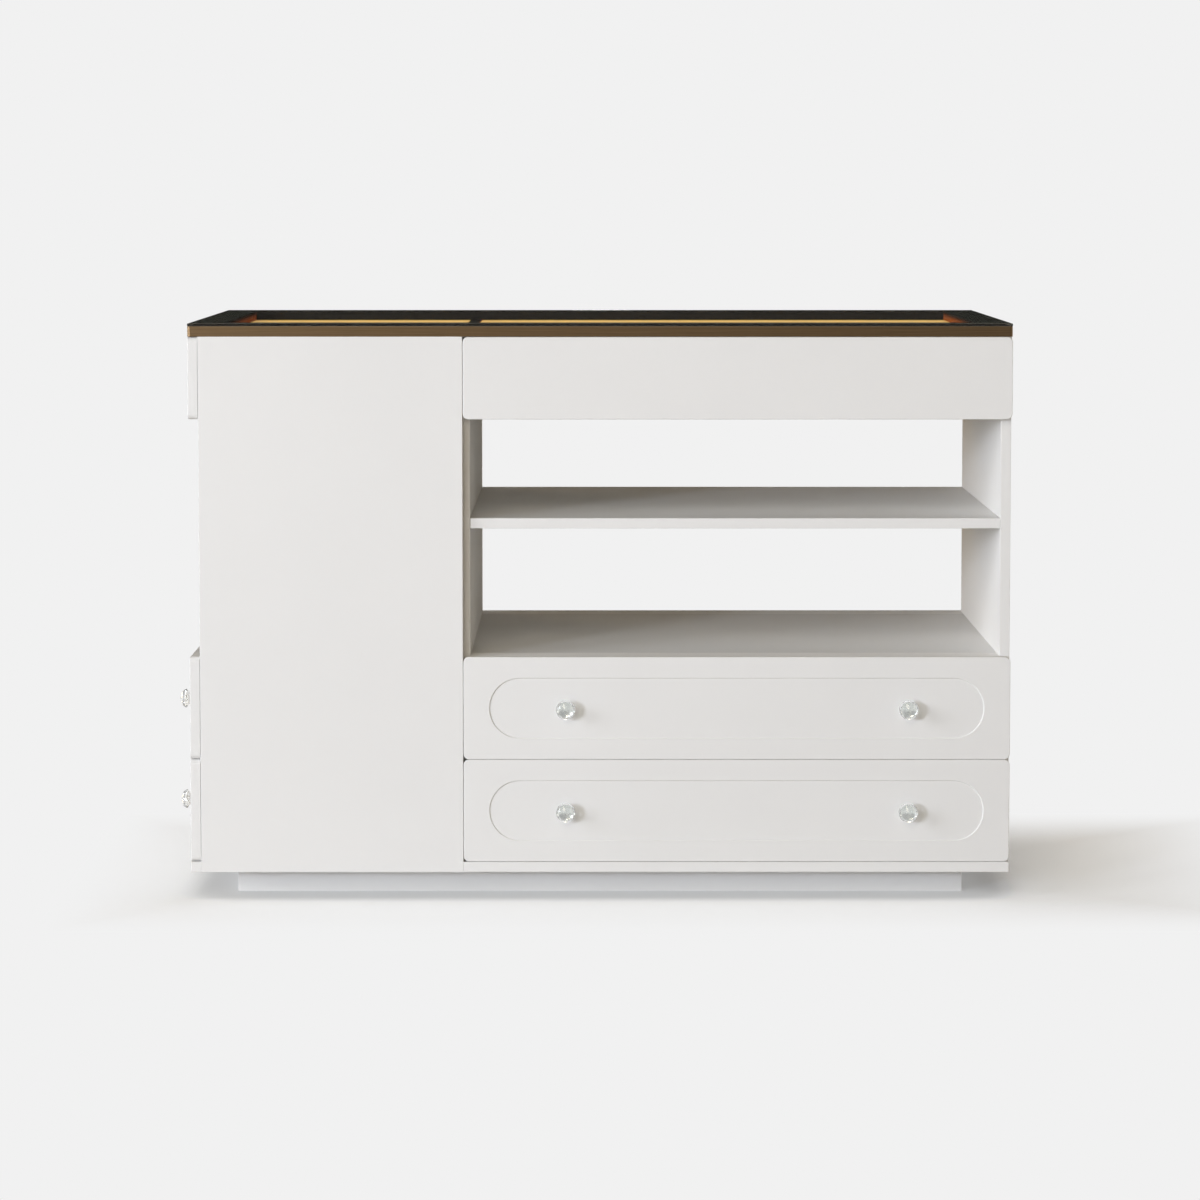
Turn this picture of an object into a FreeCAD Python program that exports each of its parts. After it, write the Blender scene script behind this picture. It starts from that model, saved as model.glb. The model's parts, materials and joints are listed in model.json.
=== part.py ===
import FreeCAD, Part
import math
import os
from collections import namedtuple

# A free-standing closet island: a narrow unit and a wide unit on one plinth, under one glass-topped
# metal frame. The wide unit's drawers slide out along -Y and the narrow unit's along -X.
# Millimetres, +Z up, X along the island. The origin is on the floor at the plinth's centre.

Vector = FreeCAD.Vector
along_x, along_y, along_z = Vector(1, 0, 0), Vector(0, 1, 0), Vector(0, 0, 1)

# The island as a whole
width = 1200.0          # along X
depth = 600.0           # along Y
narrow_width = 400.0    # the unit at the -X end

# Boards and the gaps between them
board = 15.0            # every carcass board
back_board = 9.0        # between the two units
box_board = 12.0        # drawer box sides and ends
box_bottom = 6.0
front_gap = 0.5         # between neighbouring fronts and panels
closing_gap = 0.5       # between a closed front and the carcass behind it
shelf_play = 0.3        # at each end of a loose shelf
board_edge = 0.7        # radius on the boards' visible edges
wall_lap = 5.0          # the wide unit's inner wall runs this far behind the narrow unit's panels

# Heights, from the floor up
plinth_height = 40.0
plinth_recess = 63.0    # in from each side of the island
drawer_section = 302.5  # two rows of drawers
open_section = 348.0    # the open bays
shelf_rise = 187.5      # from the deck to the underside of the loose shelf
top_section = 120.5     # the top row of drawers, with its ceiling and floor
frame_height = 15.0
glass_thickness = 4.0

# Deck above the lower drawers: it stops short of the front and back, where a stretcher runs
stretcher_width = 37.0

# The top drawers have no knobs: fingers reach up behind the lower edge of their fronts, through
# the gap that the bay's ceiling leaves
finger_gap = 37.0

# Drawer fronts
front_corner = 8.0      # rounded corners
front_edge = 1.2        # rounded outer edge
panel_side = 37.5       # from the front's end to the recessed panel
panel_rise = 30.5       # from the front's lower and upper edge to the recessed panel
panel_depth = 1.6
panel_slope = 1.3       # width of the sloping rim

# Drawer boxes: how far the box stays above and below the edges of its front
box_lift = 20.0
box_head = 29.25
top_box_lift = 25.0
top_box_head = 28.5
groove_rise = 8.0       # from the box's lower edge to its bottom board
groove_depth = 5.0

# Ball-bearing runners: three steel channels, one inside the next
runner_gap = 12.7       # between a wall and a drawer box
runner_half = 17.5      # half the height of the fixed channel
runner_steel = 1.2
runner_play = 0.4       # between nested flanges
runner_setback = 3.0    # from the back of the front to the runner's end
runner_reach = 10.0     # from the wall to the lip of the fixed channel
middle_start = 2.4      # from the wall to the middle channel
middle_reach = 10.8
inner_start = 5.0       # from the wall to the lip of the inner channel
box_overrun = 3.0       # the box is longer than its runner by this much behind it
wide_rear_space = 65.0  # free behind a closed drawer box
narrow_rear_space = 16.0

# Knobs: a cut-crystal head on a turned metal base, held by a screw from inside the box
knob_radius = 14.0
knob_table = 6.0        # radius of the flat in front
knob_back = 9.5         # radius of the crystal's seat
knob_head = 12.4        # length of the crystal
knob_girdle = 3.4       # from the seat to the widest part
knob_girdle_band = 2.2
knob_facets = 16
base_radius = 8.0
base_neck = 5.5
base_length = 15.1
base_foot = 2.5
base_cup = 3.0          # length of the cup that holds the crystal
screw_radius = 2.0
screw_grip = 7.0        # thread inside the base
screw_head_radius = 4.0
screw_head = 2.2
wide_knob_inset = 149.5     # from the end of the front to the knob's axis
narrow_knob_inset = 108.0

# Fittings
pin_radius = 2.5
pin_length = 16.0
pin_setback = 85.0      # from the ends of the shelf
dowel_radius = 4.0
dowel_length = 30.0
dowel_in_wall = 10.0
dowel_setback = 95.0

# Metal frame under the glass
rail_width = 50.0
bar_width = 17.0
bar_height = 2.0        # above the lining it lies on
bar_offset = 3.5        # from the joint between the units to the bar's middle
frame_corner = 4.0
frame_edge = 0.5
glass_corner = 3.0
glass_edge = 0.6
lining = 1.0            # the metal sheet on the floor of the two windows

# Positions that follow from the sizes above
left, right = -width / 2, width / 2
front, rear = -depth / 2, depth / 2
seam = left + narrow_width
base_top = plinth_height + board
deck_top = base_top + drawer_section
ceiling = deck_top + open_section
shelf_bottom = deck_top + shelf_rise
carcass_top = ceiling + top_section
frame_top = carcass_top + frame_height
fixed_front = front + board     # where the carcass starts behind the fronts
fixed_rear = rear - board
narrow_start = left + board
front_board = board - closing_gap   # drawer fronts
wall_start = seam - wall_lap    # the wide unit's inner wall
wall_end = wall_start + board
wide_end = right - board
back_start = wall_start - back_board

# A unit as seen from its own drawer fronts: x runs along the fronts, y runs into the unit from the
# outer face of the fronts, z is up.
Unit = namedtuple("Unit", "name place inner fronts inner_depth rear_space knob_inset")
wide = Unit(
    "wide",
    FreeCAD.Placement(Vector(0, front, 0), FreeCAD.Rotation()),
    (wall_end, wide_end),
    (seam + front_gap / 2, right),
    depth - 2 * board,
    wide_rear_space,
    wide_knob_inset,
)
narrow = Unit(
    "narrow",
    FreeCAD.Placement(Vector(left, 0, 0), FreeCAD.Rotation(along_z, -90)),
    (fixed_front, fixed_rear),
    (front, rear),
    back_start - narrow_start,
    narrow_rear_space,
    narrow_knob_inset,
)
units = (wide, narrow)

# The rows of drawers: name, lower and upper edge of the front, lower and upper edge of the box
Row = namedtuple("Row", "name bottom top box_bottom box_top panelled")
small_front = (drawer_section - 2 * front_gap) / 2
lower_bottom = base_top + front_gap
upper_bottom = lower_bottom + small_front + front_gap


def row(name, bottom, top, lift, head, panelled):
    return Row(name, bottom, top, bottom + lift, top - head, panelled)


rows = (
    row("lower", lower_bottom, lower_bottom + small_front, box_lift, box_head, True),
    row("upper", upper_bottom, deck_top, box_lift, box_head, True),
    row("top", ceiling, carcass_top - front_gap, top_box_lift, top_box_head, False),
)


def box_rear(unit):
    return board + unit.inner_depth - unit.rear_space


def block(x0, x1, y0, y1, z0, z1):
    return Part.makeBox(x1 - x0, y1 - y0, z1 - z0, Vector(x0, y0, z0))


def cylinder(radius, length, start, direction):
    return Part.makeCylinder(radius, length, start, direction)


def extruded(points, direction):
    return Part.Face(Part.makePolygon(points + points[:1])).extrude(direction)


def turned(profile, start):
    # profile is (radius, distance) pairs along +Y, starting and ending on the axis
    points = [Vector(radius, distance, 0) for radius, distance in profile]
    face = Part.Face(Part.makePolygon(points + points[:1]))
    solid = face.revolve(Vector(0, 0, 0), along_y, 360)
    solid.translate(start)
    return solid


def placed(unit, solids):
    moved = [solid.copy() for solid in solids]
    for solid in moved:
        solid.Placement = unit.place.multiply(solid.Placement)
    return moved


def edges_along(solid, axis):
    # the straight edges that run along one axis
    found = []
    for edge in solid.Edges:
        line = edge.lastVertex().Point - edge.firstVertex().Point
        if line.Length > 0 and abs(line.dot(axis)) > 0.999 * line.Length:
            found.append(edge)
    return found


def lies_at(edge, axis, level):
    return all(abs(vertex.Point.dot(axis) - level) < 1e-6 for vertex in edge.Vertexes)


def edges_at(solid, axis, level):
    # the edges that lie wholly in one plane across an axis
    return [edge for edge in solid.Edges if lies_at(edge, axis, level)]


def eased(solid, run, across, levels):
    # a board with its long edges softened: they run along one axis at some levels of another
    edges = [edge for edge in edges_along(solid, run)
             if any(lies_at(edge, across, level) for level in levels)]
    return solid.makeFillet(board_edge, edges)


# Fittings come first, because the boards are drilled for them

def dowel(unit, x, y, z, outward):
    # across the end of a board at local x; outward is the side on which the wall stands
    start = Vector(x - outward * (dowel_length - dowel_in_wall), y, z)
    return placed(unit, [cylinder(dowel_radius, dowel_length, start, Vector(outward, 0, 0))])[0]


def unit_dowels(unit):
    # two at each end of every fixed board
    near = board + dowel_setback
    far = board + unit.inner_depth - dowel_setback
    levels = (deck_top - board / 2, ceiling + board / 2, carcass_top - board / 2)
    return [dowel(unit, x, y, z, side)
            for x, side in zip(unit.inner, (-1, 1)) for y in (near, far) for z in levels]


def shelf_pin(unit, x, y, outward):
    start = Vector(x - outward * pin_length / 2, y, shelf_bottom - pin_radius)
    return placed(unit, [cylinder(pin_radius, pin_length, start, Vector(outward, 0, 0))])[0]


def unit_pins(unit):
    near = board + pin_setback
    far = board + unit.inner_depth - pin_setback
    return [shelf_pin(unit, x, y, side)
            for x, side in zip(unit.inner, (-1, 1)) for y in (near, far)]


dowels = [peg for unit in units for peg in unit_dowels(unit)]
pins = [pin for unit in units for pin in unit_pins(unit)]


def drilled(solid):
    for peg in dowels + pins:
        if peg.BoundBox.intersect(solid.BoundBox):
            solid = solid.cut(peg)
    return solid


# Carcass

def plinth_frame():
    x0, x1 = left + plinth_recess, right - plinth_recess
    y0, y1 = front + plinth_recess, rear - plinth_recess
    near = block(x0, x1, y0, y0 + board, 0, plinth_height)
    far = block(x0, x1, y1 - board, y1, 0, plinth_height)
    rails = [eased(near, along_z, along_y, (y0,)), eased(far, along_z, along_y, (y1,))]
    for x in (x0, -board / 2, x1 - board):
        rails.append(block(x, x + board, y0 + board, y1 - board, 0, plinth_height))
    return rails


def cover_block(y0, y1):
    # one of the narrow unit's two long sides, down over the edge of the base board
    return block(narrow_start, seam - front_gap / 2, y0, y1, plinth_height, carcass_top)


near_cover = cover_block(front, fixed_front)
far_cover = cover_block(fixed_rear, rear)


def cover_panel(solid, face):
    return [drilled(eased(solid, along_z, along_y, (face,)))]


def base_board():
    solid = block(left, right, front, rear, plinth_height, base_top)
    solid = eased(solid, along_x, along_y, (front, rear))
    solid = eased(solid, along_y, along_x, (left, right))
    return [solid.cut(near_cover).cut(far_cover)]


def wide_wall(x0):
    solid = block(x0, x0 + board, fixed_front, fixed_rear, base_top, carcass_top)
    return [drilled(eased(solid, along_z, along_y, (fixed_front, fixed_rear)))]


def unit_back():
    return [drilled(block(back_start, wall_start, fixed_front, fixed_rear, base_top, carcass_top))]


def fixed_boards(unit):
    # the deck, the ceiling of the open bay and the board under the metal frame
    x0, x1 = unit.inner
    back = board + unit.inner_depth
    deck_front = board + stretcher_width
    deck_back = back - stretcher_width if unit is wide else back
    deck = block(x0, x1, deck_front, deck_back, deck_top - board, deck_top)
    deck = eased(deck, along_x, along_y, (deck_front, deck_back))
    over_bay = block(x0, x1, board + finger_gap, back, ceiling, ceiling + board)
    over_bay = eased(over_bay, along_x, along_y, (board + finger_gap,))
    under_frame = block(x0, x1, board, back, carcass_top - board, carcass_top)
    return [drilled(solid) for solid in placed(unit, (deck, over_bay, under_frame))]


def stretchers():
    z0 = deck_top - board
    z1 = deck_top
    solids = []
    for unit in units:
        x0, x1 = unit.inner
        solids += placed(unit, [block(x0, x1, board, board + stretcher_width, z0, z1)])
    x0, x1 = wide.inner
    solids.append(block(x0, x1, fixed_rear - stretcher_width, fixed_rear, z0, z1))
    return solids


def loose_shelf(unit):
    x0, x1 = unit.inner[0] + shelf_play, unit.inner[1] - shelf_play
    y0, y1 = board, board + unit.inner_depth - shelf_play
    shelf = block(x0, x1, y0, y1, shelf_bottom, shelf_bottom + board)
    return placed(unit, [eased(shelf, along_x, along_y, (y0, y1))])


def rear_panels():
    # fixed panels that match the fronts on the wide unit's far side
    x0, x1 = wide.fronts
    spans = ((rows[0].bottom, deck_top), (rows[2].bottom, rows[2].top))
    return [rounded_front(x0, x1, z0, z1, board, rear, 1) for z0, z1 in spans]


# Drawer fronts

def rounded_front(x0, x1, z0, z1, thickness, face, outward):
    # a panel with rounded corners and a softened outer edge; face is the y of its outer face
    back = face - outward * thickness
    solid = block(x0, x1, min(face, back), max(face, back), z0, z1)
    solid = solid.makeFillet(front_corner, edges_along(solid, along_y))
    return solid.makeFillet(front_edge, edges_at(solid, along_y, face))


def stadium(x0, x1, z0, z1, y):
    # a long outline with full-round ends, in a plane across y
    radius = (z1 - z0) / 2
    middle = (z0 + z1) / 2
    a, b = x0 + radius, x1 - radius
    upper = Part.LineSegment(Vector(a, y, z1), Vector(b, y, z1))
    end = Part.Arc(Vector(b, y, z1), Vector(x1, y, middle), Vector(b, y, z0))
    lower = Part.LineSegment(Vector(b, y, z0), Vector(a, y, z0))
    start = Part.Arc(Vector(a, y, z0), Vector(x0, y, middle), Vector(a, y, z1))
    return Part.Wire([curve.toShape() for curve in (upper, end, lower, start)])


def drawer_front(unit, line):
    x0, x1 = unit.fronts
    solid = rounded_front(x0, x1, line.bottom, line.top, front_board, 0, -1)
    if not line.panelled:
        return [solid]
    x0, x1 = x0 + panel_side, x1 - panel_side
    z0, z1 = line.bottom + panel_rise, line.top - panel_rise
    rim = stadium(x0, x1, z0, z1, 0)
    floor = stadium(x0 + panel_slope, x1 - panel_slope, z0 + panel_slope, z1 - panel_slope,
                    panel_depth)
    solid = solid.cut(Part.makeLoft([rim, floor], True, True))
    for screw in knob_screws(unit, line):
        solid = solid.cut(screw)
    return [solid]


# Drawer boxes, in their unit's own directions

def box_edges(unit):
    x0, x1 = unit.inner[0] + runner_gap, unit.inner[1] - runner_gap
    return x0, x1, front_board, box_rear(unit)


def drawer_bottom(unit, line):
    x0, x1, y0, y1 = box_edges(unit)
    inset = box_board - groove_depth
    z0 = line.box_bottom + groove_rise
    return [block(x0 + inset, x1 - inset, y0 + inset, y1 - inset, z0, z0 + box_bottom)]


def drawer_box(unit, line):
    x0, x1, y0, y1 = box_edges(unit)
    z0, z1 = line.box_bottom, line.box_top
    boards = [block(x0, x0 + box_board, y0, y1, z0, z1),
              block(x1 - box_board, x1, y0, y1, z0, z1),
              block(x0 + box_board, x1 - box_board, y0, y0 + box_board, z0, z1),
              block(x0 + box_board, x1 - box_board, y1 - box_board, y1, z0, z1)]
    cutters = drawer_bottom(unit, line)
    if line.panelled:
        cutters += knob_screws(unit, line)
    for cutter in cutters:
        boards = [solid.cut(cutter) for solid in boards]
    return boards


# Runners, one pair for each drawer

def channel(web, lip, half, y0, y1, z):
    # a C section along y, with its web at x = web and its flanges reaching to x = lip
    side = math.copysign(1, lip - web)
    inside = web + side * runner_steel
    low, high = z - half, z + half
    outline = [(web, low), (lip, low), (lip, low + runner_steel), (inside, low + runner_steel),
               (inside, high - runner_steel), (lip, high - runner_steel), (lip, high), (web, high)]
    return extruded([Vector(x, y0, height) for x, height in outline], Vector(0, y1 - y0, 0))


def runner_channels(unit, line, web, lip, half):
    y0 = front_board + runner_setback
    y1 = box_rear(unit) - box_overrun
    z = (line.box_bottom + line.box_top) / 2
    return [channel(wall + side * web, wall + side * lip, half, y0, y1, z)
            for wall, side in zip(unit.inner, (1, -1))]


middle_half = runner_half - runner_steel - runner_play
inner_half = middle_half - runner_steel - runner_play


def fixed_channels(unit, line):
    return runner_channels(unit, line, 0, runner_reach, runner_half)


def middle_channels(unit, line):
    return runner_channels(unit, line, middle_start, middle_reach, middle_half)


def drawer_channels(unit, line):
    return runner_channels(unit, line, runner_gap, inner_start, inner_half)


# Knobs stand in the recessed panel

def knob_places(unit, line):
    z = (line.bottom + line.top) / 2
    return [Vector(end + side * unit.knob_inset, panel_depth, z)
            for end, side in zip(unit.fronts, (1, -1))]


def knob_bases(unit, line):
    profile = [(0, 0), (base_radius, 0), (base_radius, -base_foot), (base_neck, -2 * base_foot),
               (base_neck, base_cup - base_length), (knob_back, -base_length), (0, -base_length)]
    solids = [turned(profile, place) for place in knob_places(unit, line)]
    for screw in knob_screws(unit, line):
        solids = [solid.cut(screw) for solid in solids]
    return solids


def knob_crystals(unit, line):
    # stacked many-sided rings, widest at the girdle
    rings = ((knob_back, 0), (knob_radius, knob_girdle),
             (knob_radius, knob_girdle + knob_girdle_band), (knob_table, knob_head))
    solids = []
    for place in knob_places(unit, line):
        wires = []
        for radius, distance in rings:
            centre = place - Vector(0, base_length + distance, 0)
            corners = []
            for k in range(knob_facets + 1):
                angle = 2 * math.pi * k / knob_facets
                corners.append(centre + Vector(radius * math.cos(angle), 0, radius * math.sin(angle)))
            wires.append(Part.makePolygon(corners))
        solids.append(Part.makeLoft(wires, True, True))
    return solids


def knob_screws(unit, line):
    inside = front_board + box_board
    solids = []
    for place in knob_places(unit, line):
        tip = place - Vector(0, screw_grip, 0)
        seat = Vector(place.x, inside, place.z)
        shank = cylinder(screw_radius, inside - tip.y, tip, along_y)
        solids.append(shank.fuse(cylinder(screw_head_radius, screw_head, seat, along_y)))
    return solids


# Metal frame, lining and glass

def mitred_rails():
    outer = [Vector(left, front, carcass_top), Vector(right, front, carcass_top),
             Vector(right, rear, carcass_top), Vector(left, rear, carcass_top)]
    inward = (Vector(1, 1, 0), Vector(-1, 1, 0), Vector(-1, -1, 0), Vector(1, -1, 0))
    inner = [corner + step * rail_width for corner, step in zip(outer, inward)]
    up = Vector(0, 0, frame_height)
    rounding = block(left, right, front, rear, carcass_top, frame_top)
    rounding = rounding.makeFillet(frame_corner, edges_along(rounding, along_z))
    rims = edges_at(rounding, along_z, carcass_top) + edges_at(rounding, along_z, frame_top)
    rounding = rounding.makeFillet(frame_edge, rims)
    rails = []
    for a in range(4):
        b = (a + 1) % 4
        rails.append(extruded([outer[a], outer[b], inner[b], inner[a]], up).common(rounding))
    return rails


def window_bar():
    middle = seam + bar_offset
    return block(middle - bar_width / 2, middle + bar_width / 2, front + rail_width,
                 rear - rail_width, carcass_top + lining, carcass_top + lining + bar_height)


def window_lining():
    return [block(left + rail_width, right - rail_width, front + rail_width, rear - rail_width,
                  carcass_top, carcass_top + lining)]


def glass_top():
    solid = block(left, right, front, rear, frame_top, frame_top + glass_thickness)
    solid = solid.makeFillet(glass_corner, edges_along(solid, along_z))
    level = frame_top + glass_thickness
    return [solid.makeChamfer(glass_edge, edges_at(solid, along_z, level))]


# Every named node and its solids
nodes = {
    "plinth_frame": plinth_frame(),
    "base_board": base_board(),
    "narrow_front_panel": cover_panel(near_cover, front),
    "narrow_rear_panel": cover_panel(far_cover, rear),
    "narrow_back_board": unit_back(),
    "wide_inner_wall": wide_wall(wall_start),
    "wide_outer_wall": wide_wall(wide_end),
    "wide_rear_panels": rear_panels(),
    "deck_stretchers": stretchers(),
    "shelf_pins": pins,
    "carcass_dowels": dowels,
    "metal_frame": mitred_rails() + [window_bar()],
    "window_lining": window_lining(),
    "glass_top": glass_top(),
}
nodes["top_boards"] = []
for unit in units:
    deck, over_bay, under_frame = fixed_boards(unit)
    nodes[f"{unit.name}_deck"] = [deck]
    nodes[f"{unit.name}_bay_ceiling"] = [over_bay]
    nodes["top_boards"].append(under_frame)
    nodes[f"{unit.name}_shelf"] = loose_shelf(unit)

nodes["runner_fixed_channels"] = []
for unit in units:
    for line in rows:
        drawer = f"{unit.name}_{line.name}"
        nodes["runner_fixed_channels"] += placed(unit, fixed_channels(unit, line))
        nodes[f"{drawer}_middle_channels"] = placed(unit, middle_channels(unit, line))
        nodes[f"{drawer}_drawer_channels"] = placed(unit, drawer_channels(unit, line))
        nodes[f"{drawer}_front"] = placed(unit, drawer_front(unit, line))
        nodes[f"{drawer}_box"] = placed(unit, drawer_box(unit, line))
        nodes[f"{drawer}_bottom"] = placed(unit, drawer_bottom(unit, line))
        if line.panelled:
            bases = knob_bases(unit, line) + knob_screws(unit, line)
            nodes[f"{drawer}_knob_bases"] = placed(unit, bases)
            nodes[f"{drawer}_knob_crystals"] = placed(unit, knob_crystals(unit, line))

os.makedirs("parts", exist_ok=True)
for name, solids in nodes.items():
    shape = solids[0] if len(solids) == 1 else Part.makeCompound(solids)
    shape.exportStep(f"parts/{name}.step")
print(len(nodes), "nodes")
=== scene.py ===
import json
import math

import bmesh
import bpy
from mathutils import Matrix, Vector


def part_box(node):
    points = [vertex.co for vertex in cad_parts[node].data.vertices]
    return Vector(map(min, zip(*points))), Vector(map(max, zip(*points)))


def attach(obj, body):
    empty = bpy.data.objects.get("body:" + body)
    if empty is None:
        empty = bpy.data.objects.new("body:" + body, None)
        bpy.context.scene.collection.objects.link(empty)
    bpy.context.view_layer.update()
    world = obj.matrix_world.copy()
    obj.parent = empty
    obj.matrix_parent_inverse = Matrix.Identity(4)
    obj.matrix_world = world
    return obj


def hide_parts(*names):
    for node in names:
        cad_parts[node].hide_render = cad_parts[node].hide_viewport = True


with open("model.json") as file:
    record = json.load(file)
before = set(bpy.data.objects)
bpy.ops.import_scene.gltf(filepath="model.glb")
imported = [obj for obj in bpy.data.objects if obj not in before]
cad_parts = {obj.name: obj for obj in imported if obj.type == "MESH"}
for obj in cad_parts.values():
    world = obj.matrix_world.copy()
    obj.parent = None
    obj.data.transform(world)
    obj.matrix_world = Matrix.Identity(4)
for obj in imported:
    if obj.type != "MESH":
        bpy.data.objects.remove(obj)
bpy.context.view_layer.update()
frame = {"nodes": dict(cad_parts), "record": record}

nodes = frame["nodes"]
mm = 0.001

print("frame loaded:", len(nodes), "nodes")


# small helpers

def srgb(r, g, b):
    # 0 to 255 as on a screen, to the linear colour that the shaders take
    def linear(v):
        v /= 255
        return v / 12.92 if v <= 0.04045 else ((v + 0.055) / 1.055) ** 2.4
    return (linear(r), linear(g), linear(b), 1)


def newMaterial(name, **sockets):
    mat = bpy.data.materials.new(name)
    mat.use_nodes = True
    shader = mat.node_tree.nodes["Principled BSDF"]
    for socket, value in sockets.items():
        shader.inputs[socket.replace("_", " ")].default_value = value
    return mat, mat.node_tree, shader


def bareMaterial(name):
    mat = bpy.data.materials.new(name)
    mat.use_nodes = True
    mat.node_tree.nodes.clear()
    return mat, mat.node_tree


def addNode(tree, kind, **settings):
    n = tree.nodes.new(kind)
    for name, value in settings.items():
        setattr(n, name, value)
    return n


def feed(tree, socket, value):
    # a socket takes another one's output, or a plain value
    if isinstance(value, bpy.types.NodeSocket):
        tree.links.new(value, socket)
    else:
        socket.default_value = value


def mathNode(tree, operation, *values):
    n = addNode(tree, "ShaderNodeMath", operation=operation)
    for socket, value in zip(n.inputs, values):
        feed(tree, socket, value)
    return n.outputs[0]


def splitXYZ(tree, vector):
    n = addNode(tree, "ShaderNodeSeparateXYZ")
    tree.links.new(vector, n.inputs[0])
    return n.outputs


def faceNormal(tree):
    return splitXYZ(tree, addNode(tree, "ShaderNodeNewGeometry").outputs["True Normal"])


def objectCoords(tree, scale=(1, 1, 1)):
    coords = addNode(tree, "ShaderNodeTexCoord")
    mapping = addNode(tree, "ShaderNodeMapping")
    mapping.inputs["Scale"].default_value = scale
    tree.links.new(coords.outputs["Object"], mapping.inputs["Vector"])
    return mapping.outputs["Vector"]


def noise(tree, vector, scale, detail=2.0, roughness=0.5):
    n = addNode(tree, "ShaderNodeTexNoise")
    n.inputs["Scale"].default_value = scale
    n.inputs["Detail"].default_value = detail
    n.inputs["Roughness"].default_value = roughness
    tree.links.new(vector, n.inputs["Vector"])
    return n.outputs["Fac"]


def ranged(tree, value, low, high, start=0.3, end=0.7):
    # spreads a texture's middle values over low to high
    n = addNode(tree, "ShaderNodeMapRange")
    for name, number in (("From Min", start), ("From Max", end), ("To Min", low), ("To Max", high)):
        n.inputs[name].default_value = number
    tree.links.new(value, n.inputs["Value"])
    return n.outputs["Result"]


def smoothStep(tree, value, start, end):
    n = addNode(tree, "ShaderNodeMapRange", interpolation_type="SMOOTHSTEP")
    n.inputs["From Min"].default_value = start
    n.inputs["From Max"].default_value = end
    tree.links.new(value, n.inputs["Value"])
    return n.outputs[0]


def mixColours(tree, fac, a, b):
    n = addNode(tree, "ShaderNodeMix", data_type="RGBA")
    for socket, value in (("Factor", fac), ("A", a), ("B", b)):
        feed(tree, n.inputs[socket], value)
    return n.outputs["Result"]


def mixShaders(tree, fac, a, b):
    n = addNode(tree, "ShaderNodeMixShader")
    feed(tree, n.inputs["Fac"], fac)
    tree.links.new(a, n.inputs[1])
    tree.links.new(b, n.inputs[2])
    return n.outputs[0]


def diffuse(tree, colour):
    n = addNode(tree, "ShaderNodeBsdfDiffuse")
    n.inputs["Color"].default_value = colour
    return n.outputs[0]


def emission(tree, colour, strength=1):
    n = addNode(tree, "ShaderNodeEmission")
    n.inputs["Color"].default_value = colour
    n.inputs["Strength"].default_value = strength
    return n.outputs[0]


def transparent(tree, colour):
    n = addNode(tree, "ShaderNodeBsdfTransparent")
    n.inputs["Color"].default_value = colour
    return n.outputs[0]


def rays(tree, *kinds):
    # 1 for rays of these kinds
    path = addNode(tree, "ShaderNodeLightPath")
    total = path.outputs[kinds[0]]
    for kind in kinds[1:]:
        total = mathNode(tree, "MAXIMUM", total, path.outputs[kind])
    return total


def bump(tree, shader, height, distance, strength=1.0):
    n = addNode(tree, "ShaderNodeBump")
    n.inputs["Strength"].default_value = strength
    n.inputs["Distance"].default_value = distance
    tree.links.new(height, n.inputs["Height"])
    tree.links.new(n.outputs["Normal"], shader.inputs["Normal"])


def meshData(mesh, name):
    data = bpy.data.meshes.new(name)
    mesh.to_mesh(data)
    mesh.free()
    return data


def addObject(name, data):
    made = bpy.data.objects.new(name, data)
    bpy.context.scene.collection.objects.link(made)
    return made


def finished(mesh, name, material, body, stands=()):
    # turns a bmesh into a piece that rides on a body
    piece = addObject(name, meshData(mesh, name))
    piece.data.materials.append(material)
    if stands:
        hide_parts(*stands)
    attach(piece, body)


# white lacquer on the boards: an even satin coat with a faint orange peel

lacquer = dict(
    colour=srgb(229, 229, 228),
    cloud=srgb(226, 226, 225),      # very slight drift of tone over a board
    driftScale=2.3,
    specular=0.03,
    roughness=(0.6, 0.7),
    satinScale=14,
    peelScale=420,
    peelDepth=0.000012,
)

# the stretchers' coat is made paler as a painted highlight, so that the strips before and behind the decks
# look lit
paintedLitLacquer = dict(lacquer, colour=srgb(243, 243, 242), cloud=srgb(240, 240, 239))


def lacquerMaterial(name, look):
    mat, tree, shader = newMaterial(name, Specular_IOR_Level=look["specular"])
    place = objectCoords(tree)
    drift = ranged(tree, noise(tree, place, look["driftScale"], 3), 0, 1)
    tree.links.new(mixColours(tree, drift, look["colour"], look["cloud"]), shader.inputs["Base Color"])
    satin = ranged(tree, noise(tree, place, look["satinScale"], 4), *look["roughness"])
    tree.links.new(satin, shader.inputs["Roughness"])
    bump(tree, shader, noise(tree, place, look["peelScale"], 1), look["peelDepth"])
    return mat


# matt melamine of the drawer boxes, with a fine linen press

melamine = dict(
    colour=srgb(226, 224, 219),
    fleck=srgb(214, 211, 205),
    specular=0.3,
    roughness=(0.5, 0.62),
    threadScale=900,
    threadDepth=0.00004,
    press=0.6,
    stretches=((1, 1, 0.05), (0.05, 1, 1), (1, 0.05, 1)),
    # the sum of the three over which the fleck and the roughness change
    fleckRange=(1.2, 1.9),
    satinRange=(1.2, 1.8),
)


def melamineMaterial(name, look):
    mat, tree, shader = newMaterial(name, Specular_IOR_Level=look["specular"])
    weave = 0
    for stretch in look["stretches"]:
        threads = noise(tree, objectCoords(tree, stretch), look["threadScale"], 1)
        weave = mathNode(tree, "ADD", threads, weave)
    fleck = ranged(tree, weave, 0, 1, *look["fleckRange"])
    tree.links.new(mixColours(tree, fleck, look["colour"], look["fleck"]), shader.inputs["Base Color"])
    satin = ranged(tree, weave, *look["roughness"], *look["satinRange"])
    tree.links.new(satin, shader.inputs["Roughness"])
    bump(tree, shader, weave, look["threadDepth"], look["press"])
    return mat


# bronzed metal of the frame and the gold of the trays under the windows, brushed along each rail

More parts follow.
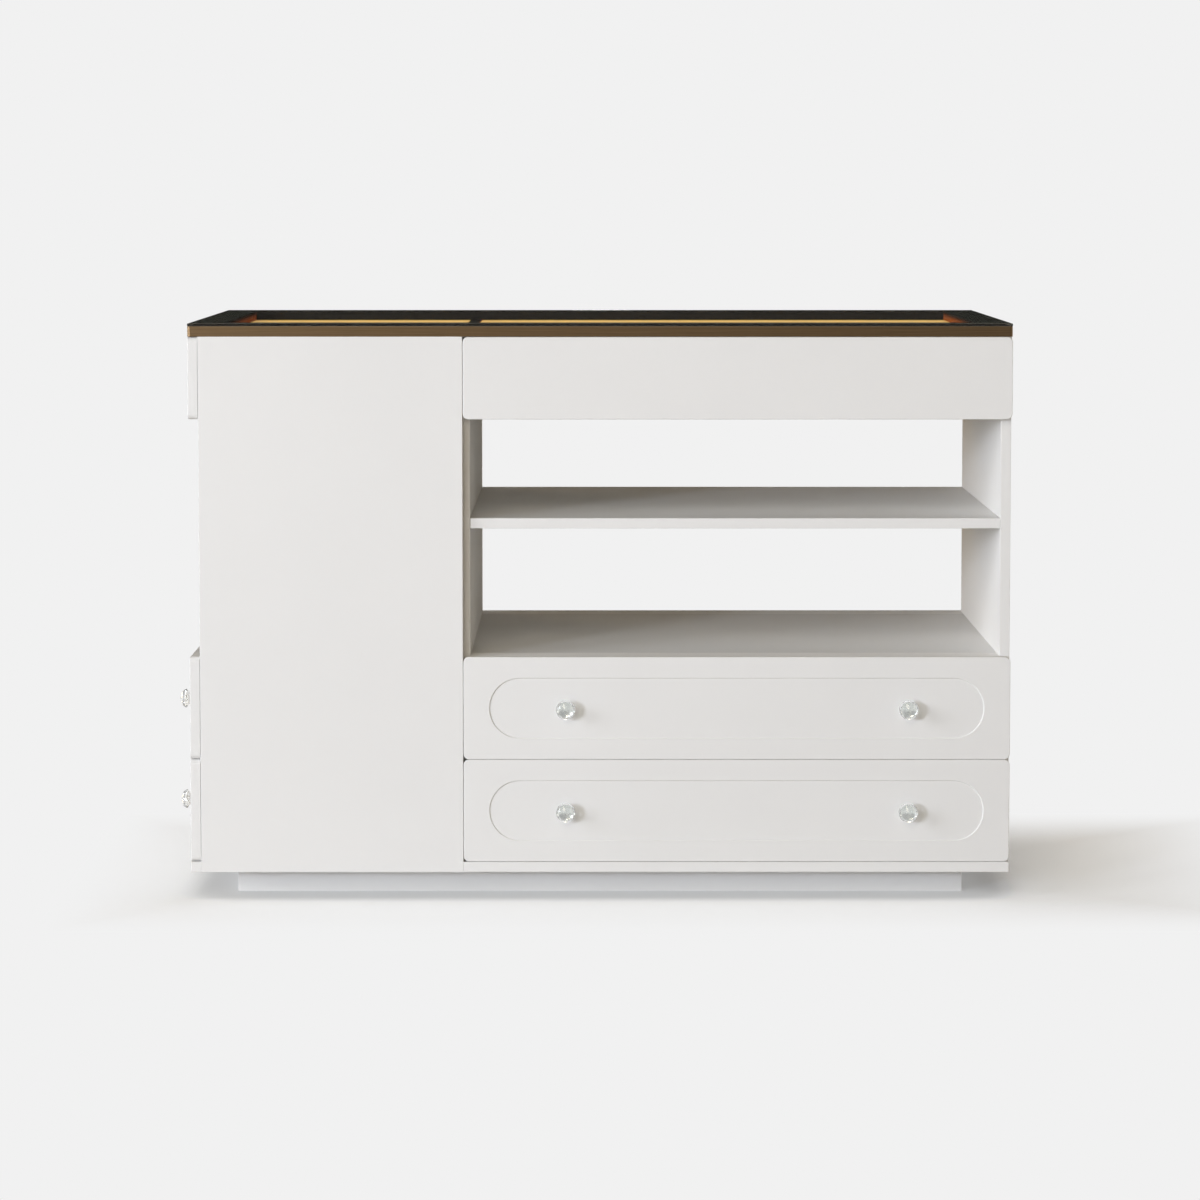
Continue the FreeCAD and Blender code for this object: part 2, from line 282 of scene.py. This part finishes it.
sideFaceNormal = 0.7        # a side face's normal has at least this along X
bronze = dict(
    colour=srgb(129, 105, 76),
    dark=srgb(108, 88, 62),
    inside=srgb(28, 25, 23),        # painted shade on the faces turned to the windows, which are also matt
    insideRoughness=0.9,
    insideReach=(0.56, 0.27),       # metres, they lie nearer the middle than this in X and Y
    paintedAmberGlow=srgb(129, 69, 32),        # painted glow: the amber light that the gold floor would throw on the side faces
    paintedGlowHeights=(0.83, 0.8395),    # metres, it fades out between these
    metallic=1.0,
    clearCoat=0.8,
    coatRoughness=0.14,
    specular=0.0,                   # of the matt inner faces
    roughness=(0.3, 0.42),
    brushScale=700,
    brushDepth=0.00001,
    along=0.015,
)
gold = dict(
    colour=srgb(252, 200, 100),
    dark=srgb(242, 188, 91),
    inside=None,
    metallic=0.05,                  # a satin gold coat, more paint than metal
    clearCoat=0.0,
    coatRoughness=0.14,
    specular=0.4,
    roughness=(0.34, 0.46),
    brushScale=500,
    brushDepth=0.00001,
    along=0.02,
)


def brushedMaterial(name, look):
    mat, tree, shader = newMaterial(
        name, Metallic=look["metallic"], Coat_Weight=look["clearCoat"],
        Coat_Roughness=look["coatRoughness"], Specular_IOR_Level=look["specular"])
    runX = noise(tree, objectCoords(tree, (look["along"], 1, 1)), look["brushScale"], 3)
    runY = noise(tree, objectCoords(tree, (1, look["along"], 1)), look["brushScale"], 3)
    sideways = mathNode(tree, "ABSOLUTE", faceNormal(tree)["X"])
    sideFace = mathNode(tree, "GREATER_THAN", sideways, sideFaceNormal)
    brush = addNode(tree, "ShaderNodeMix", data_type="FLOAT")
    for socket, value in (("Factor", sideFace), ("A", runX), ("B", runY)):
        tree.links.new(value, brush.inputs[socket])
    brushed = brush.outputs["Result"]
    tone = mixColours(tree, ranged(tree, brushed, 0, 1), look["colour"], look["dark"])
    rough = ranged(tree, brushed, *look["roughness"])
    if look["inside"]:
        # painted shade: the faces inside the frame take a dark colour, and are made matt and not metal
        place = splitXYZ(tree, objectCoords(tree))
        within = 1
        for axis, reach in zip("XY", look["insideReach"]):
            near = mathNode(tree, "LESS_THAN", mathNode(tree, "ABSOLUTE", place[axis]), reach)
            within = mathNode(tree, "MULTIPLY", near, within)
        outer = mathNode(tree, "SUBTRACT", 1, within)
        # painted glow: the low side faces inside the frame turn amber, as if lit by the gold floor
        high = smoothStep(tree, place["Z"], *look["paintedGlowHeights"])
        paintedGlowMask = mathNode(tree, "MULTIPLY", sideFace, mathNode(tree, "SUBTRACT", 1, high))
        tone = mixColours(tree, within, tone, mixColours(tree, paintedGlowMask, look["inside"], look["paintedAmberGlow"]))
        matt = mathNode(tree, "MULTIPLY", within, look["insideRoughness"])
        rough = mathNode(tree, "MAXIMUM", rough, matt)
        coat = mathNode(tree, "MULTIPLY", outer, look["clearCoat"])
        tree.links.new(outer, shader.inputs["Metallic"])
        tree.links.new(coat, shader.inputs["Coat Weight"])
    tree.links.new(tone, shader.inputs["Base Color"])
    tree.links.new(rough, shader.inputs["Roughness"])
    bump(tree, shader, brushed, look["brushDepth"])
    return mat


# zinc-plated steel of the runners and shelf pins

zinc = dict(
    colour=srgb(200, 203, 205),
    spangle=srgb(178, 182, 186),
    roughness=(0.26, 0.42),
    spangleScale=60,
    spangleRange=(0, 0.8),
    wearScale=90,
)


def zincMaterial(name, look):
    mat, tree, shader = newMaterial(name, Metallic=1.0)
    place = objectCoords(tree)
    cells = addNode(tree, "ShaderNodeTexVoronoi")
    cells.inputs["Scale"].default_value = look["spangleScale"]
    tree.links.new(place, cells.inputs["Vector"])
    tone = ranged(tree, cells.outputs["Distance"], 0, 1, *look["spangleRange"])
    tree.links.new(mixColours(tree, tone, look["colour"], look["spangle"]), shader.inputs["Base Color"])
    wear = ranged(tree, noise(tree, place, look["wearScale"], 3), *look["roughness"])
    tree.links.new(wear, shader.inputs["Roughness"])
    return mat


# the dowels' wood, with its grain along X

beech = dict(
    colour=srgb(214, 178, 132),
    grain=srgb(186, 146, 100),
    grainScale=300,
    grainRun=0.1,
    grainDepth=0.00005,
    roughness=0.6,
)


def beechMaterial(name, look):
    mat, tree, shader = newMaterial(name, Roughness=look["roughness"])
    place = objectCoords(tree, (look["grainRun"], 1, 1))
    grain = ranged(tree, noise(tree, place, look["grainScale"], 4), 0, 1)
    tree.links.new(mixColours(tree, grain, look["colour"], look["grain"]), shader.inputs["Base Color"])
    bump(tree, shader, grain, look["grainDepth"])
    return mat


# glass: the top pane, and the knobs' crystal

glass = dict(
    ior=1.5,
    tint=srgb(248, 250, 247),
    mirror=0.01,                    # the share that it mirrors
    mirrorRoughness=0.02,
    rimHighlight=srgb(206, 200, 190),     # a pale colour on the sloping rim, a painted highlight
    rimHighlightShare=0.25,
    rimHighlightSlopes=(0.2, 0.98),       # of the normal's Z
)
printInk = dict(colour=srgb(34, 34, 31), speckleShade=0.8, speckleScale=220, roughness=0.5)
crystal = dict(ior=1.54, tint=srgb(250, 252, 251), roughness=0.0, shade=srgb(150, 150, 148))
polished = dict(colour=srgb(224, 224, 222), roughness=(0.06, 0.14), wearScale=160)


def glassMaterial(name, look):
    # bends what lies under the pane, mirrors only a little, and lets lamps through; its sloping rim carries
    # a painted highlight
    mat, tree = bareMaterial(name)
    bend = addNode(tree, "ShaderNodeBsdfRefraction")
    bend.inputs["Color"].default_value = look["tint"]
    bend.inputs["Roughness"].default_value = 0
    bend.inputs["IOR"].default_value = look["ior"]
    shine = addNode(tree, "ShaderNodeBsdfGlossy")
    shine.inputs["Roughness"].default_value = look["mirrorRoughness"]
    clear = mixShaders(tree, look["mirror"], bend.outputs[0], shine.outputs[0])
    steep, level = look["rimHighlightSlopes"]
    tilt = mathNode(tree, "ABSOLUTE", faceNormal(tree)["Z"])
    slope = mathNode(tree, "MULTIPLY", mathNode(tree, "LESS_THAN", tilt, level),
                     mathNode(tree, "GREATER_THAN", tilt, steep))
    # painted highlight: part of the sloping rim's colour is a pale diffuse, so that the edge reads lit
    paintedHighlight = mathNode(tree, "MULTIPLY", slope, look["rimHighlightShare"])
    pane = mixShaders(tree, paintedHighlight, clear, diffuse(tree, look["rimHighlight"]))
    out = addNode(tree, "ShaderNodeOutputMaterial")
    lit = mixShaders(tree, rays(tree, "Is Shadow Ray"), pane, transparent(tree, look["tint"]))
    tree.links.new(lit, out.inputs["Surface"])
    return mat


def inkMaterial(name, look):
    mat, tree, shader = newMaterial(name, Specular_IOR_Level=0.0, Roughness=look["roughness"])
    speckle = ranged(tree, noise(tree, objectCoords(tree), look["speckleScale"], 3), 0, 1)
    darker = tuple(look["speckleShade"] * c for c in look["colour"][:3]) + (1,)
    tree.links.new(mixColours(tree, speckle, look["colour"], darker), shader.inputs["Base Color"])
    return mat


def crystalMaterial(name, look):
    # clear cut glass; lamps pass it weakened
    mat, tree, shader = newMaterial(name, Transmission_Weight=1.0, IOR=look["ior"],
                                    Base_Color=look["tint"], Roughness=look["roughness"])
    out = tree.nodes["Material Output"]
    lit = mixShaders(tree, rays(tree, "Is Shadow Ray"), shader.outputs[0], transparent(tree, look["shade"]))
    tree.links.new(lit, out.inputs["Surface"])
    return mat


def polishedMaterial(name, look):
    mat, tree, shader = newMaterial(name, Metallic=1.0, Base_Color=look["colour"])
    wear = ranged(tree, noise(tree, objectCoords(tree), look["wearScale"], 3), *look["roughness"])
    tree.links.new(wear, shader.inputs["Roughness"])
    return mat


mats = {
    "white_lacquer": lacquerMaterial("whiteLacquer", lacquer),
    "strips": lacquerMaterial("paintedLitLacquer", paintedLitLacquer),
    "box_board": melamineMaterial("linenMelamine", melamine),
    "bronzed_metal": brushedMaterial("bronzedMetal", bronze),
    "gold_metal": brushedMaterial("goldMetal", gold),
    "runner_steel": zincMaterial("zincPlate", zinc),
    "plain_wood": beechMaterial("beech", beech),
    "top_glass": glassMaterial("clearGlass", glass),
    "print": inkMaterial("blackPrint", printInk),
    "knob_crystal": crystalMaterial("cutCrystal", crystal),
    "knob_metal": polishedMaterial("polishedMetal", polished),
}

slotOf = {entry["node"]: entry["material_slot"] for entry in frame["record"]["subparts"]}
# the stretchers take the paler coat, a painted highlight
slotOf["deck_stretchers"] = "strips"
for name, node in nodes.items():
    for slot in node.material_slots:
        slot.material = mats[slotOf[name]]
print("materials on the boards, metal and fittings")


# glass pane over a black printed border

pane = dict(
    corner=3.0 * mm,
    edge=0.7 * mm,
    printThickness=0.2 * mm,    # the room for it under the glass
    inkShare=0.9,               # and how much of that it fills
    printInset=0.6 * mm,        # from the edge of the glass
    border=50 * mm,             # the clear window starts here
)


def roundedPlate(low, high, corner, edge, sharp=1.2):
    # a plate with rounded corners and bevelled rims, which turn by more than sharp, in radians
    mesh = bmesh.new()
    bmesh.ops.create_cube(mesh, size=1)
    size = high - low
    bmesh.ops.scale(mesh, vec=size, verts=mesh.verts)
    bmesh.ops.translate(mesh, vec=(low + high) / 2, verts=mesh.verts)
    upright = [e for e in mesh.edges if abs(e.verts[0].co.z - e.verts[1].co.z) > size.z / 2]
    bmesh.ops.bevel(mesh, geom=upright, offset=corner, segments=6, profile=0.5,
                    affect="EDGES", material=-1)
    rims = [e for e in mesh.edges if e.calc_face_angle(0) > sharp
            and abs(e.verts[0].co.z - e.verts[1].co.z) < size.z / 2]
    bmesh.ops.bevel(mesh, geom=rims, offset=edge, segments=2, profile=0.5,
                    affect="EDGES", material=-1)
    return mesh


def cutWindow(mesh, x0, x1, y0, y1):
    # splits the plate along a window's four sides and removes what lies inside
    for normal, along in (((1, 0, 0), x0), ((1, 0, 0), x1), ((0, 1, 0), y0), ((0, 1, 0), y1)):
        point = Vector(normal) * along
        geom = mesh.verts[:] + mesh.edges[:] + mesh.faces[:]
        bmesh.ops.bisect_plane(mesh, geom=geom, plane_co=point, plane_no=normal, dist=1e-6)
    inside = [f for f in mesh.faces
              if x0 < f.calc_center_median().x < x1 and y0 < f.calc_center_median().y < y1]
    bmesh.ops.delete(mesh, geom=inside, context="FACES")


def makePane(look):
    low, high = (Vector(corner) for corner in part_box("glass_top"))
    lift = Vector((0, 0, look["printThickness"]))
    plate = roundedPlate(low + lift, high, look["corner"], look["edge"])
    finished(plate, "glassPane", mats["top_glass"], "cabinet", ("glass_top",))

    inset = Vector((look["printInset"], look["printInset"], 0))
    sheet = bmesh.new()
    bmesh.ops.create_grid(sheet, x_segments=1, y_segments=1, size=0.5)
    size = high - low - 2 * inset
    bmesh.ops.scale(sheet, vec=(size.x, size.y, 1), verts=sheet.verts)
    bmesh.ops.translate(sheet, vec=(0, 0, low.z), verts=sheet.verts)
    cutWindow(sheet, low.x + look["border"], high.x - look["border"],
              low.y + look["border"], high.y - look["border"])
    bmesh.ops.solidify(sheet, geom=sheet.faces[:], thickness=-look["inkShare"] * look["printThickness"])
    bmesh.ops.recalc_face_normals(sheet, faces=sheet.faces[:])
    finished(sheet, "printedBorder", mats["print"], "cabinet")


makePane(pane)
print("glass pane and its print")


# knobs: turned base, cut crystal

stone = dict(
    # corners, radius and distance from the seat in mm, and steps of turn
    rings=((12, 9.3, 0.05, 0), (24, 13.95, 3.0, 0), (24, 13.95, 4.4, 0), (12, 11.4, 8.5, 0.5),
           (12, 7.4, 10.5, 0), (12, 2.6, 12.35, 0)),
)
knobBase = dict(
    length=15.1,        # from the panel to the seat of the stone, mm
    turning=((0.0, 0.0), (7.4, 0.0), (8.0, 0.5), (8.0, 1.6), (7.4, 2.3), (5.9, 3.2), (5.3, 5.0),
             (5.3, 7.6), (5.9, 8.8), (6.6, 9.2), (6.6, 10.2), (5.9, 10.6), (6.4, 11.6), (8.6, 13.6),
             (9.3, 14.6), (9.3, 15.05), (0.0, 15.05)),
    steps=48,
    screw=((0.0, 0.7), (1.2, 0.7), (1.5, 0.0), (3.4, 0.0), (4.0, 0.5), (4.0, 1.6), (3.5, 2.2), (2.0, 2.2)),
    shank=2.0,
    screwSteps=32,
    crease=38,          # degrees, sharper edges stay sharp
)


def spun(mesh, outline, place, outward, steps):
    # turns (radius, distance) pairs in mm about an axis through place
    side = outward.cross(Vector((0, 0, 1)))
    chain = [mesh.verts.new(place + side * radius * mm + outward * distance * mm)
             for radius, distance in outline]
    edges = [mesh.edges.new(pair) for pair in zip(chain, chain[1:])]
    bmesh.ops.spin(mesh, geom=chain + edges, cent=place, axis=outward, angle=2 * math.pi,
                   steps=steps, use_merge=True)
    bmesh.ops.remove_doubles(mesh, verts=mesh.verts[:], dist=1e-6)


def cutStone(look, place, outward, turn):
    # the hull over rings of corners is the cut: table, stars, kites, girdle and the facets behind it
    side = outward.cross(Vector((0, 0, 1)))
    frameTurn = Matrix((side, Vector((0, 0, 1)), outward)).transposed().to_4x4()
    mesh = bmesh.new()
    for count, radius, distance, half in look["rings"]:
        ring = bmesh.ops.create_circle(mesh, segments=count, radius=radius * mm)["verts"]
        angle = math.radians(turn) + 2 * math.pi / count * half
        shift = Matrix.Translation(place + outward * distance * mm)
        move = shift @ frameTurn @ Matrix.Rotation(angle, 4, "Z")
        bmesh.ops.transform(mesh, matrix=move, verts=ring)
    hull = bmesh.ops.convex_hull(mesh, input=mesh.verts[:])
    loose = set(hull["geom_interior"]) | set(hull["geom_unused"])
    bmesh.ops.delete(mesh, geom=[v for v in loose if isinstance(v, bmesh.types.BMVert)], context="VERTS")
    bmesh.ops.dissolve_limit(mesh, angle_limit=math.radians(1), verts=mesh.verts[:], edges=mesh.edges[:])
    bmesh.ops.recalc_face_normals(mesh, faces=mesh.faces[:])
    return mesh


def knobPlaces(node):
    # the seats of a drawer's two stones, and the way they point
    low, high = (Vector(corner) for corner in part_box(node))
    wide = node.startswith("wide")
    outward = Vector((0, -1, 0)) if wide else Vector((-1, 0, 0))
    along = Vector((1, 0, 0)) if wide else Vector((0, 1, 0))
    thick = Vector(map(abs, outward))
    radius = (high.z - low.z) / 2
    reach = (high - low).dot(along) / 2 - radius
    seat = (low + high) / 2 - outward * (high - low).dot(thick) / 2
    return [seat - along * reach, seat + along * reach], outward


def makeKnobs(drawer, turns):
    seats, outward = knobPlaces(drawer + "_knob_crystals")
    stones = bmesh.new()
    base = bmesh.new()
    low, high = (Vector(corner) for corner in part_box(drawer + "_knob_bases"))
    innermost = min(corner.dot(outward) for corner in (low, high))
    for seat, turn in zip(seats, turns):
        data = meshData(cutStone(stone, seat, outward, turn), "oneStone")
        stones.from_mesh(data)
        bpy.data.meshes.remove(data)
        foot = seat - outward * knobBase["length"] * mm
        spun(base, knobBase["turning"], foot, outward, knobBase["steps"])
        depth = (seat.dot(outward) - innermost) / mm
        shank = depth - knobBase["length"]
        screw = knobBase["screw"] + ((knobBase["shank"], shank), (0.0, shank))
        spun(base, screw, seat - outward * depth * mm, outward, knobBase["screwSteps"])
    finished(stones, drawer + "Stones", mats["knob_crystal"], drawer + "_drawer",
             (drawer + "_knob_crystals",))
    bmesh.ops.recalc_face_normals(base, faces=base.faces[:])
    for face in base.faces:
        face.smooth = True
    for edge in base.edges:
        edge.smooth = edge.calc_face_angle(0) < math.radians(knobBase["crease"])
    finished(base, drawer + "KnobBases", mats["knob_metal"], drawer + "_drawer",
             (drawer + "_knob_bases",))


# degrees that each drawer's two stones are turned by
knobTurns = dict(wide_upper=(25, 23), wide_lower=(24, 26), narrow_upper=(7, 33), narrow_lower=(24, 15))
for drawer, turns in knobTurns.items():
    makeKnobs(drawer, turns)
print("knobs")


# floor, backdrop, lamps and camera

studio = dict(
    backdrop=srgb(241, 241, 241),
    ambient=(0.07, 0.048, 0.02, 1),     # what the world gives off as light
    room=(0.22, 0.22, 0.22, 1),         # what metal sees before the object
    roomEdge=(-0.25, 0.1),              # a direction's Y over which that ends
    roomStart=(-1.6, -0.9),             # metres, the floor's Y over which it begins
    patch=(0.5, 0.5, 0.5, 1),           # what glass sees straight in front
    patchEdge=(-0.95, -0.7),            # a direction's Y over which that ends
    floorSize=60,
    bounce=(0.68, 0.66, 0.63, 1),       # the floor's share of light sent back to the object
    floorTone=(0.77, 0.8, 0.83, 1),     # the floor as seen: its own paint
    floorGlow=0.256,                    # and what it shows under no lamp
    # metres over which the floor turns into backdrop: left, right, before and behind
    fades=(("X", -0.52, -0.8), ("X", 0.62, 1.1), ("Y", -0.2, -0.55), ("Y", 0.08, 0.45)),
    # the shade close under the object
    contact=dict(reach=0.09, samples=16, start=0.8, end=0.3, share=0.27),
)


def floorMaterial(look):
    mat, tree = bareMaterial("floorPaint")
    painted = addNode(tree, "ShaderNodeAddShader")
    tree.links.new(diffuse(tree, look["floorTone"]), painted.inputs[0])
    tree.links.new(emission(tree, (1, 1, 1, 1), look["floorGlow"]), painted.inputs[1])
    place = splitXYZ(tree, objectCoords(tree))
    fade = 0
    for axis, start, end in look["fades"]:
        fade = mathNode(tree, "MAXIMUM", smoothStep(tree, place[axis], start, end), fade)
    shown = mixShaders(tree, fade, painted.outputs[0], emission(tree, look["backdrop"]))
    contact = look["contact"]
    openness = addNode(tree, "ShaderNodeAmbientOcclusion", samples=contact["samples"])
    openness.inputs["Distance"].default_value = contact["reach"]
    closeness = smoothStep(tree, openness.outputs["AO"], contact["start"], contact["end"])
    shade = mathNode(tree, "MULTIPLY", closeness, contact["share"])
    shown = mixShaders(tree, shade, shown, emission(tree, (0, 0, 0, 1)))
    # metal sees the white floor behind and beside the object, and a dim room before it
    behind = smoothStep(tree, place["Y"], *look["roomStart"])
    mirrored = mathNode(tree, "MULTIPLY", rays(tree, "Is Glossy Ray"), behind)
    seen = mathNode(tree, "MAXIMUM", rays(tree, "Is Camera Ray", "Is Transmission Ray"), mirrored)
    out = addNode(tree, "ShaderNodeOutputMaterial")
    tree.links.new(mixShaders(tree, seen, diffuse(tree, look["bounce"]), shown), out.inputs["Surface"])
    return mat


def worldLight(tree, colour):
    n = addNode(tree, "ShaderNodeBackground")
    n.inputs["Color"].default_value = colour
    return n.outputs[0]


def makeWorld(look):
    world = bpy.data.worlds.new("studio")
    bpy.context.scene.world = world
    world.use_nodes = True
    tree = world.node_tree
    tree.nodes.clear()
    direction = splitXYZ(tree, addNode(tree, "ShaderNodeTexCoord").outputs["Generated"])
    behind = smoothStep(tree, direction["Y"], *look["roomEdge"])
    sheet = worldLight(tree, look["backdrop"])
    mirrored = mixShaders(tree, behind, worldLight(tree, look["room"]), sheet)
    light = mixShaders(tree, rays(tree, "Is Glossy Ray"), worldLight(tree, look["ambient"]), mirrored)
    # glass sees the sheet all round but for a dark patch straight in front
    patch = smoothStep(tree, direction["Y"], *look["patchEdge"])
    through = mixShaders(tree, patch, worldLight(tree, look["patch"]), sheet)
    light = mixShaders(tree, rays(tree, "Is Transmission Ray"), light, through)
    out = addNode(tree, "ShaderNodeOutputWorld")
    tree.links.new(mixShaders(tree, rays(tree, "Is Camera Ray"), light, sheet), out.inputs["Surface"])


def makeFloor(look):
    mesh = bmesh.new()
    bmesh.ops.create_grid(mesh, x_segments=1, y_segments=1, size=look["floorSize"] / 2)
    floor = addObject("floor", meshData(mesh, "floor"))
    floor.data.materials.append(floorMaterial(look))


# azimuth 0 shines from the front and -90 from the left; strength is what a facing surface receives
lampAim = Vector((0, 0, 0.45))
lamps = dict(
    key=dict(azimuth=-36.5, elevation=8, distance=13, size=2, strength=1.42, colour=(0.93, 0.99, 1.11)),
    keyFill=dict(azimuth=-60, elevation=15.5, distance=13, size=5, strength=1.26,
                 colour=(0.955, 0.99, 1.05)),
    frontHigh=dict(azimuth=-12, elevation=28, distance=9, size=3, strength=0.55, colour=(1, 0.92, 0.78)),
    nearFill=dict(azimuth=-28, elevation=8, distance=4.2, size=1, strength=0.08, colour=(1, 1, 1)),
    overhead=dict(azimuth=0, elevation=86, distance=9, size=2, strength=0.355, colour=(1, 0.8, 0.56)),
    left=dict(azimuth=-88, elevation=10, distance=11, size=3, strength=0.14, colour=(0.96, 0.99, 1.03)),
    right=dict(azimuth=54, elevation=13, distance=9, size=3.5, strength=0.2, colour=(1, 0.92, 0.78)),
    rearLeft=dict(azimuth=-135, elevation=8, distance=9, size=3, strength=0.56, colour=(1, 0.76, 0.46)),
    rearRight=dict(azimuth=135, elevation=8, distance=9, size=3, strength=0.1, colour=(1, 0.85, 0.62)),
    # as low as the decks, and without a shine, so that they leave the shelves in the open bays dark
    back=dict(azimuth=180, elevation=-0.6, distance=20, size=0.4, strength=1.6,
              colour=(1, 0.96, 0.9), shine=False),
    side=dict(azimuth=92, elevation=-0.6, distance=20, size=0.4, strength=0.9,
              colour=(0.98, 0.99, 1.02), shine=False),
)


def makeLamp(name, azimuth, elevation, distance, size, strength, colour, shine=True):
    data = bpy.data.lights.new(name, "AREA")
    data.size = size
    data.energy = strength * math.pi * distance ** 2
    data.color = colour
    lamp = addObject(name, data)
    a, e = math.radians(azimuth), math.radians(elevation)
    towards = Vector((math.sin(a) * math.cos(e), -math.cos(a) * math.cos(e), math.sin(e)))
    lamp.location = lampAim + towards * distance
    lamp.rotation_euler = towards.to_track_quat("Z", "Y").to_euler()
    lamp.visible_camera = False
    lamp.visible_glossy = shine


camera = dict(
    height=1.0399,
    front=-0.3,         # Y of the drawer fronts
    distance=5.3306,    # from there
    focal=110.15,
    sensor=36,
    shift=-0.12,
    pitch=4.159,        # degrees down
    farthest=200,
)


def makeCamera(look):
    data = bpy.data.cameras.new("camera")
    data.lens = look["focal"]
    data.sensor_width = look["sensor"]
    data.shift_y = look["shift"]
    data.clip_end = look["farthest"]
    cam = addObject("camera", data)
    cam.location = (0, look["front"] - look["distance"], look["height"])
    cam.rotation_euler = (math.radians(90 - look["pitch"]), 0, 0)
    bpy.context.scene.camera = cam


makeFloor(studio)
makeWorld(studio)
for name, lamp in lamps.items():
    makeLamp(name, **lamp)
makeCamera(camera)
bpy.context.scene.view_settings.view_transform = "Standard"
print("stage, lamps and camera")
